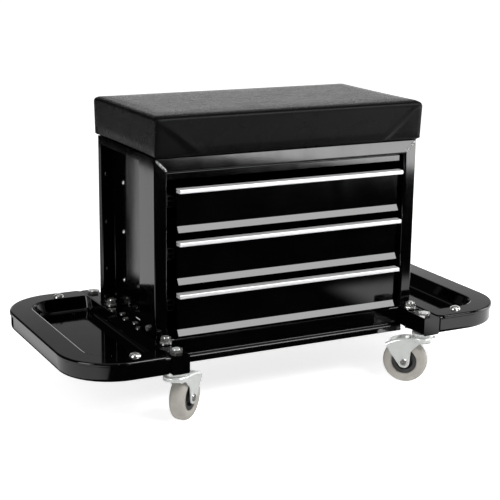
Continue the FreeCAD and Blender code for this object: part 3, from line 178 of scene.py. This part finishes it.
# the slide steel is kept near-black as painted shade, so the gaps beside the drawers stay black
slideSteel = {"base": (0.10, 0.10, 0.10), "dull": (0.05, 0.05, 0.05), "metallic": 1.0, "roughness": 0.35,
              "roughnessSpread": 0.2, "scratchScale": 700, "scratchDepth": 0.02 * mm, "stretch": (1, 0.03, 1)}


def metalSurface(net, metal):
    patches = net.fade(net.noise(*metalWear["patch"]), *metalWear["patchFade"])
    base = net.mix(patches, colour(*metal["dull"]), colour(*metal["base"]))
    sheen = net.noise(*metalWear["sheen"], metal["stretch"])
    roughness = sheen * metal["roughnessSpread"] + metal["roughness"]
    scratch = net.noise(metal["scratchScale"], *metalWear["scratch"], metal["stretch"])
    return net.shader(base, roughness, net.bump(scratch, metal["scratchDepth"]), Metallic=metal["metallic"])


tread = {"base": (0.34, 0.325, 0.295), "soiled": (0.25, 0.235, 0.21), "soil": (45, 6, 0.62),
         "soilFade": (0.4, 0.75), "patch": (80, 4, 0.6), "roughness": 0.42, "roughnessSpread": 0.2,
         "pores": (1400, 2), "poreDepth": 0.02 * mm}


def treadSurface(net, rubber):
    soil = net.fade(net.noise(*rubber["soil"]), *rubber["soilFade"])
    base = net.mix(soil, colour(*rubber["base"]), colour(*rubber["soiled"]))
    roughness = net.noise(*rubber["patch"]) * rubber["roughnessSpread"] + rubber["roughness"]
    return net.shader(base, roughness, net.bump(net.noise(*rubber["pores"]), rubber["poreDepth"]))


hubPlastic = {"base": 0.035, "scuffed": 0.055, "scuff": (120, 5, 0.65), "scuffFade": (0.45, 0.8),
              "roughness": 0.42, "roughnessSpread": 0.2, "specks": (1600, 2), "speckDepth": 0.015 * mm}


def hubSurface(net, plastic):
    scuff = net.noise(*plastic["scuff"])
    scuffed = net.fade(scuff, *plastic["scuffFade"])
    base = net.mix(scuffed, colour(plastic["base"]), colour(plastic["scuffed"]))
    roughness = scuff * plastic["roughnessSpread"] + plastic["roughness"]
    return net.shader(base, roughness, net.bump(net.noise(*plastic["specks"]), plastic["speckDepth"]))


plywood = {"light": (0.66, 0.50, 0.33), "dark": (0.42, 0.28, 0.16), "plyCount": 420, "plyWander": 0.6,
           "grain": (34, 6, 0.6, (0.12, 1, 1), 0.4), "grainDepth": 0.08 * mm, "grainShare": 0.7,
           "plyShare": 0.3, "toneFade": (0.3, 0.7), "roughness": 0.65}


def plywoodSurface(net, wood):
    grain = net.noise(*wood["grain"])
    plies = net.node("ShaderNodeTexWave", {"bands_direction": "Z"},
                     {"Vector": net.place(), "Scale": wood["plyCount"], "Distortion": wood["plyWander"]})
    tone = net.fade(grain * wood["grainShare"] + plies * wood["plyShare"], *wood["toneFade"])
    base = net.mix(tone, colour(*wood["dark"]), colour(*wood["light"]))
    return net.shader(base, wood["roughness"], net.bump(grain, wood["grainDepth"]))


# the bead's colour follows its lumps: painted highlight on their tops and near-black painted shade between
# them
weldBead = {"bright": 0.62, "burnt": 0.02, "roughness": 0.3, "metallic": 0.6, "lumps": (420, 5, 0.7),
            "lumpFade": (0.42, 0.58), "lumpDepth": 0.35 * mm}


def weldSurface(net, bead):
    lumps = net.noise(*bead["lumps"])
    # painted highlight where the lumps rise, painted shade where they sink
    base = net.mix(net.fade(lumps, *bead["lumpFade"]), colour(bead["burnt"]), colour(bead["bright"]))
    return net.shader(base, bead["roughness"], net.bump(lumps, bead["lumpDepth"]), Metallic=bead["metallic"])


finishes = {"black_paint": (paintSurface, blackPaint), "vinyl": (vinylSurface, vinyl),
            "zinc": (metalSurface, zinc), "caster_zinc": (metalSurface, casterZinc),
            "aluminium": (metalSurface, aluminium), "slide_steel": (metalSurface, slideSteel),
            "tread": (treadSurface, tread), "hub_plastic": (hubSurface, hubPlastic),
            "plywood": (plywoodSurface, plywood), "weld_bead": (weldSurface, weldBead)}
materials = {name: newMaterial(name, build, finish) for name, (build, finish) in finishes.items()}
for node, piece in frame["nodes"].items():
    piece.data.materials.clear()
    piece.data.materials.append(materials[slotOfNode[node]])
print("finishes made:", len(materials))


def addMesh(bm, name, material):
    mesh = bpy.data.meshes.new(name)
    bm.to_mesh(mesh)
    bm.free()
    mesh.materials.append(material)
    added = bpy.data.objects.new(name, mesh)
    bpy.context.collection.objects.link(added)
    return added


def smoothFaces(piece):
    for face in piece.data.polygons:
        face.use_smooth = True


def finishPiece(bm, name, material, body):
    piece = addMesh(bm, name, material)
    smoothFaces(piece)
    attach(piece, body)
    return piece


# "proud" is how far the cover goes past the solid: to each side, to front and back, and upwards
cushion = {"proud": (1.0 * mm, 4.0 * mm, 3.6 * mm), "underGap": 0.05 * mm, "edge": 3.2 * mm, "edgeSteps": 3,
           "recessDepth": 9.6 * mm, "recessWall": 10.4 * mm, "recessHeld": 0.7, "voxel": 3.0 * mm,
           "pressure": 4.0, "frames": 20, "quality": 5, "mass": 0.3, "stretch": 40, "bend": 4,
           "caps": (0.5 * mm, 0.5 * mm, 1.1 * mm), "heldHeight": 5 * mm, "heldEdge": 4.5 * mm,
           "shoulderDrop": 2.6 * mm, "shoulderWidth": (5 * mm, 15 * mm), "drawIn": 0.8 * mm,
           "footHeight": 14 * mm, "footDraw": 2.2 * mm, "cornerHold": 4, "longSideFrom": 0.9,
           "shortSideFrom": 0.95,
           "foldSlope": 1.2, "foldDepth": 3.0 * mm, "foldWidth": 6 * mm,
           "ridgeHeight": 0.7 * mm, "ridgeWidth": 3.5 * mm, "ridgeFrom": 10 * mm,
           "pleatDepth": 0.28 * mm, "pleatPitch": 5.4 * mm, "pleatReach": 0.36, "pleatFade": 22 * mm,
           "pleatRimGap": 4 * mm, "pleatEndGap": 14 * mm}


def cushionStart():
    low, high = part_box("seat_cushion")
    bm = bmesh.new()
    bmesh.ops.create_cube(bm, size=1)
    span = high - low
    proud = cushion["proud"]
    size = Vector((span.x + 2 * proud[0], span.y + 2 * proud[1], span.z + proud[2] - cushion["underGap"]))
    centre = Vector(((low.x + high.x) / 2, (low.y + high.y) / 2, low.z + cushion["underGap"] + size.z / 2))
    bmesh.ops.scale(bm, vec=size, verts=bm.verts)
    bmesh.ops.translate(bm, vec=centre, verts=bm.verts)
    rounded = [edge for edge in bm.edges if min(vert.co.z for vert in edge.verts) > centre.z]
    bmesh.ops.bevel(bm, geom=rounded, offset=cushion["edge"], segments=cushion["edgeSteps"], profile=0.5,
                    affect="EDGES", material=-1)
    under = min(bm.faces, key=lambda face: face.calc_center_median().z)
    bmesh.ops.inset_region(bm, faces=[under], thickness=cushion["recessWall"])
    raised = bmesh.ops.extrude_face_region(bm, geom=[under])
    corners = [item for item in raised["geom"] if isinstance(item, bmesh.types.BMVert)]
    bmesh.ops.delete(bm, geom=[under], context="FACES")
    bmesh.ops.translate(bm, vec=(0, 0, cushion["recessDepth"]), verts=corners)
    bmesh.ops.recalc_face_normals(bm, faces=bm.faces)
    return bm, centre, size


def applyModifiers(piece):
    graph = bpy.context.evaluated_depsgraph_get()
    flat = bpy.data.meshes.new_from_object(piece.evaluated_get(graph), depsgraph=graph)
    old = piece.data
    piece.modifiers.clear()
    piece.data = flat
    bpy.data.meshes.remove(old)


def holdFoam(piece, centre, half):
    # the foam holds the rim, the corners and the underside; the vinyl fills out between them
    held = piece.vertex_groups.new(name="held")
    recessX, recessY = (half[axis] - cushion["recessWall"] * cushion["recessHeld"] for axis in range(2))
    for vert in piece.data.vertices:
        away = vert.co - centre
        inRecess = abs(away.x) < recessX and abs(away.y) < recessY and away.z < 0
        nearRim = sum(abs(away[axis]) > half[axis] - cushion["heldEdge"] for axis in range(3)) > 1
        if away.z < cushion["heldHeight"] - half.z or inRecess or nearRim:
            held.add([vert.index], 1, "REPLACE")
    return held.name


def inflate(piece, centre, half):
    before = [vert.co.copy() for vert in piece.data.vertices]
    held = holdFoam(piece, centre, half)
    cloth = piece.modifiers.new("fill", "CLOTH")
    cloth.settings.quality = cushion["quality"]
    cloth.settings.mass = cushion["mass"]
    cloth.settings.tension_stiffness = cushion["stretch"]
    cloth.settings.compression_stiffness = cushion["stretch"]
    cloth.settings.bending_stiffness = cushion["bend"]
    cloth.settings.use_pressure = True
    cloth.settings.uniform_pressure_force = cushion["pressure"]
    cloth.settings.vertex_group_mass = held
    cloth.settings.effector_weights.gravity = 0
    cloth.collision_settings.use_collision = False
    for number in range(1, cushion["frames"] + 1):
        bpy.context.scene.frame_set(number)
    applyModifiers(piece)
    for vert, start in zip(piece.data.vertices, before):
        move = vert.co - start
        vert.co = start + Vector([max(-cap, min(cap, part)) for part, cap in zip(move, cushion["caps"])])
    bpy.context.scene.frame_set(1)


def smoothStep(value):
    value = min(1, max(0, value))
    return value * value * (3 - 2 * value)


def creaseLongSide(vert, away, half):
    # the vinyl is tucked below a slanting ridge from each upper corner,
    # with fine pleats under the rim at the left
    fromEnd = half.x - abs(away.x)
    fromTop = half.z - away.z
    below = (fromTop * cushion["foldSlope"] - fromEnd) / math.hypot(1, cushion["foldSlope"])
    shift = smoothStep(below / cushion["foldWidth"]) * smoothStep(fromTop / (2 * half.z))
    shift *= cushion["foldDepth"]
    ridge = math.exp(-(below / cushion["ridgeWidth"]) ** 2) * cushion["ridgeHeight"]
    shift -= ridge * smoothStep(fromTop / cushion["ridgeFrom"])
    along = (away.x + half.x) / (2 * half.x)
    fade = smoothStep(1 - along / cushion["pleatReach"]) * smoothStep(1 - fromTop / cushion["pleatFade"])
    fade *= smoothStep(fromTop / cushion["pleatRimGap"]) * smoothStep(fromEnd / cushion["pleatEndGap"])
    shift += math.sin(away.x / cushion["pleatPitch"] * math.tau) * cushion["pleatDepth"] * fade
    vert.co.y += shift if away.y < 0 else -shift


def shapeCover(vert, centre, half):
    # the top rolls off to its shoulders and the sides pull in between the corners
    away = vert.co - centre
    shareX, shareY = away.x / half.x, away.y / half.y
    nearness = max(1 - (half[axis] - abs(away[axis])) / cushion["shoulderWidth"][axis] for axis in range(2))
    shoulder = min(1, max(0, nearness)) ** 2 * smoothStep(away.z / half.z)
    vert.co.z -= cushion["shoulderDrop"] * shoulder
    pull = cushion["drawIn"] * (1 - (away.z / half.z) ** 2)
    pull += cushion["footDraw"] * smoothStep(1 - (away.z + half.z) / cushion["footHeight"])
    if abs(shareY) > cushion["longSideFrom"]:
        vert.co.y -= math.copysign(pull * (1 - shareX ** cushion["cornerHold"]), away.y)
        creaseLongSide(vert, away, half)
    if abs(shareX) > cushion["shortSideFrom"]:
        vert.co.x -= math.copysign(pull * (1 - shareY ** cushion["cornerHold"]), away.x)


def makeCushion():
    bm, centre, size = cushionStart()
    half = size / 2
    piece = finishPiece(bm, "seatPad", materials["vinyl"], "chassis")
    remesh = piece.modifiers.new("voxels", "REMESH")
    remesh.mode = "VOXEL"
    remesh.voxel_size = cushion["voxel"]
    applyModifiers(piece)
    inflate(piece, centre, half)
    low = Vector(map(min, *(vert.co for vert in piece.data.vertices)))
    high = Vector(map(max, *(vert.co for vert in piece.data.vertices)))
    for vert in piece.data.vertices:
        for axis in range(3):
            share = (vert.co[axis] - low[axis]) / (high[axis] - low[axis])
            vert.co[axis] = centre[axis] + (share - 0.5) * size[axis]
        shapeCover(vert, centre, half)
    smoothFaces(piece)
    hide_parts("seat_cushion")


makeCushion()
print("seat pad made")

mitreWeld = {"inset": 2.0 * mm, "downShare": 1.4, "length": 22 * mm, "radius": 1.7 * mm, "sides": 10,
             "steps": 48, "ripple": 0.34, "beads": 11, "proud": 0.4, "taper": 8, "tip": 0.3, "degrees": 135}


def makeMitreWelds():
    low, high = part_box("cabinet_top")
    for name, way in (("left", -1), ("right", 1)):
        bm = bmesh.new()
        bmesh.ops.create_circle(bm, cap_ends=False, radius=mitreWeld["radius"], segments=mitreWeld["sides"])
        step = mitreWeld["length"] / mitreWeld["steps"]
        bmesh.ops.spin(bm, geom=bm.verts[:] + bm.edges[:], cent=(0, 0, 0), axis=(0, 0, 1), angle=0,
                       dvec=(0, 0, step), steps=mitreWeld["steps"])
        bmesh.ops.holes_fill(bm, edges=[edge for edge in bm.edges if edge.is_boundary])
        for vert in bm.verts:
            along = vert.co.z / mitreWeld["length"]
            swell = 1 + mitreWeld["ripple"] * math.sin(along * mitreWeld["beads"] * math.tau)
            full = min(1, mitreWeld["taper"] * along, mitreWeld["taper"] * (1 - along))
            taper = full * (1 - mitreWeld["tip"]) + mitreWeld["tip"]
            vert.co.x *= swell * taper
            vert.co.y *= swell * taper * mitreWeld["proud"]
        bmesh.ops.recalc_face_normals(bm, faces=bm.faces)
        down = mitreWeld["inset"] * mitreWeld["downShare"]
        start = Vector(((high.x - mitreWeld["inset"]) * way, low.y, high.z - down))
        turn = Matrix.Rotation(math.radians(-mitreWeld["degrees"] * way), 4, "Y")
        bmesh.ops.transform(bm, matrix=Matrix.Translation(start) @ turn, verts=bm.verts)
        weld = finishPiece(bm, f"{name}MitreWeld", materials["weld_bead"], "chassis")


makeMitreWelds()
print("mitre welds made")

# cards are bright sheets of floor that only gloss finds;
# each edge is a direction, a distance along it and a fade
studio = {
    "floorSize": 40, "shade": 0.9, "glow": 0.78,
    "cards": {
        "besidePost": {"shine": 1.1, "edges": [((-0.454, 0.891), -0.16, 0.12), ((1, 0), -0.885, 0.012),
                                               ((-1, 0), 0.408, 0.012), ((-0.924, -0.382), 0.157, 0.003)]},
        "farBehind": {"shine": 0.3, "edges": [((0.924, 0.382), -0.134, 0.003), ((1, 0), -0.885, 0.012),
                                              ((-1, 0), 0.3, 0.1)]},
        "farRight": {"shine": 8.5, "edges": [((0.687, -0.727), 1.84, 0.04), ((0, 1), -2.0, 0.06)]},
        "beyond": {"shine": 4.2, "edges": [((0, -1), 2.2, 0.15), ((1, 0), 0.5, 0.3)]},
        "rear": {"shine": 1.1, "edges": [((0, 1), 1.1, 0.6), ((1, 0), -0.34, 0.04)]},
        "nearRight": {"shine": 1.7, "edges": [((1, 0), 0.34, 0.04), ((0, 1), -0.54, 0.03)]},
    },
}


def floorSurface(net, floor):
    spot = net.place()
    x, y = (net.node("ShaderNodeSeparateXYZ", None, [spot], output=axis) for axis in "XY")
    mirrored = colour(0)
    for card in floor["cards"].values():
        inside = 1.0
        for (alongX, alongY), start, fade in card["edges"]:
            inside = net.step(x * alongX + y * alongY, start - fade, start + fade) * inside
        mirrored = net.mix(inside, mirrored, colour(card["shine"]))
    plain = net.node("ShaderNodeBsdfDiffuse", None, {"Color": colour(floor["shade"])})
    glow = net.node("ShaderNodeEmission", None, {"Color": colour(1), "Strength": floor["glow"]})
    seen = net.node("ShaderNodeAddShader", None, [plain, glow])
    inMirror = net.node("ShaderNodeEmission", None, {"Color": mirrored})
    isGloss = net.node("ShaderNodeLightPath", output="Is Glossy Ray")
    return net.node("ShaderNodeMixShader", None, [isGloss, seen, inMirror])


def makeFloor():
    bm = bmesh.new()
    bmesh.ops.create_grid(bm, x_segments=1, y_segments=1, size=studio["floorSize"] / 2)
    floor = addMesh(bm, "studioFloor", newMaterial("studioFloor", floorSurface, studio))


# tones of the room by direction; each span is an axis and where its change starts and ends
surroundings = {
    "low": 1.3, "high": 0.25, "front": 0.012, "left": 0.02, "above": 0.45, "gloss": 0.03, "zenith": 0.5,
    "camera": 1.0,
    "spans": {"behind": ("Y", -0.45, -0.05), "right": ("X", -0.1, 0.2), "upper": ("Z", 0.17, 0.31),
              "overhead": ("Z", 0.5, 0.8), "zenith": ("Z", 0.84, 0.97)},
}


def makeSurroundings():
    # the back wall fades upwards, and gloss finds a dark ceiling
    world = bpy.data.worlds.new("studio")
    bpy.context.scene.world = world
    world.use_nodes = True
    net = Net(world.node_tree)
    tone = {name: colour(value) for name, value in surroundings.items() if name != "spans"}
    direction = net.node("ShaderNodeTexCoord", output="Generated")
    along = {axis: net.node("ShaderNodeSeparateXYZ", None, [direction], output=axis) for axis in "XYZ"}
    share = {name: net.step(along[axis], start, stop)
             for name, (axis, start, stop) in surroundings["spans"].items()}
    isRay = {name: net.node("ShaderNodeLightPath", output=f"Is {name} Ray") for name in ("Glossy", "Camera")}
    backWall = net.mix(share["upper"], tone["low"], tone["high"])
    backWall = net.mix(share["right"], tone["left"], backWall)
    walls = net.mix(share["behind"], tone["front"], backWall)
    mirrored = net.mix(share["zenith"], tone["gloss"], tone["zenith"])
    ceiling = net.mix(isRay["Glossy"], tone["above"], mirrored)
    room = net.mix(share["overhead"], walls, ceiling)
    seen = net.mix(isRay["Camera"], room, tone["camera"])
    sky = net.node("ShaderNodeBackground", None, {"Color": seen})
    net.node("ShaderNodeOutputWorld", None, {"Surface": sky})


lights = {
    "frontTop": {"place": (0.75, -1.25, 1.55), "aim": (0, -0.1, 0.2), "size": (1.3, 0.9), "watts": 34},
    "leftWall": {"place": (-1.9, -0.5, 0.9), "aim": (0, 0, 0.2), "size": (0.8, 1.6), "watts": 16},
    "rightWall": {"place": (1.9, -0.4, 0.7), "aim": (0, 0, 0.2), "size": (0.8, 1.2), "watts": 10},
}


def makeLights():
    for name, light in lights.items():
        lamp = bpy.data.lights.new(name, "AREA")
        lamp.shape = "RECTANGLE"
        lamp.size, lamp.size_y = light["size"]
        lamp.energy = light["watts"]
        holder = bpy.data.objects.new(name, lamp)
        aim = Vector(light["aim"]) - Vector(light["place"])
        turn = aim.to_track_quat("-Z", "Y").to_matrix().to_4x4()
        holder.matrix_world = Matrix.Translation(light["place"]) @ turn
        bpy.context.collection.objects.link(holder)


# the photograph's viewpoint: place in metres, angles in degrees
photoView = {"place": (-0.8587, -1.6478, 0.6528), "yaw": 27.27, "pitch": 14.21, "roll": 0.71,
             "focalPixels": 1321.4, "imagePixels": 500, "sensor": 36, "reach": 100}


def makeCamera():
    data = bpy.data.cameras.new("photoView")
    data.sensor_width = photoView["sensor"]
    data.lens = data.sensor_width * photoView["focalPixels"] / photoView["imagePixels"]
    data.clip_end = photoView["reach"]
    camera = bpy.data.objects.new("photoView", data)
    turn = (Matrix.Rotation(math.radians(-photoView["yaw"]), 4, "Z")
            @ Matrix.Rotation(math.radians(90 - photoView["pitch"]), 4, "X")
            @ Matrix.Rotation(math.radians(photoView["roll"]), 4, "Z"))
    camera.matrix_world = Matrix.Translation(photoView["place"]) @ turn
    bpy.context.collection.objects.link(camera)
    bpy.context.scene.camera = camera


makeFloor()
makeSurroundings()
makeLights()
makeCamera()
bpy.context.scene.view_settings.view_transform = "Standard"
print("studio made")
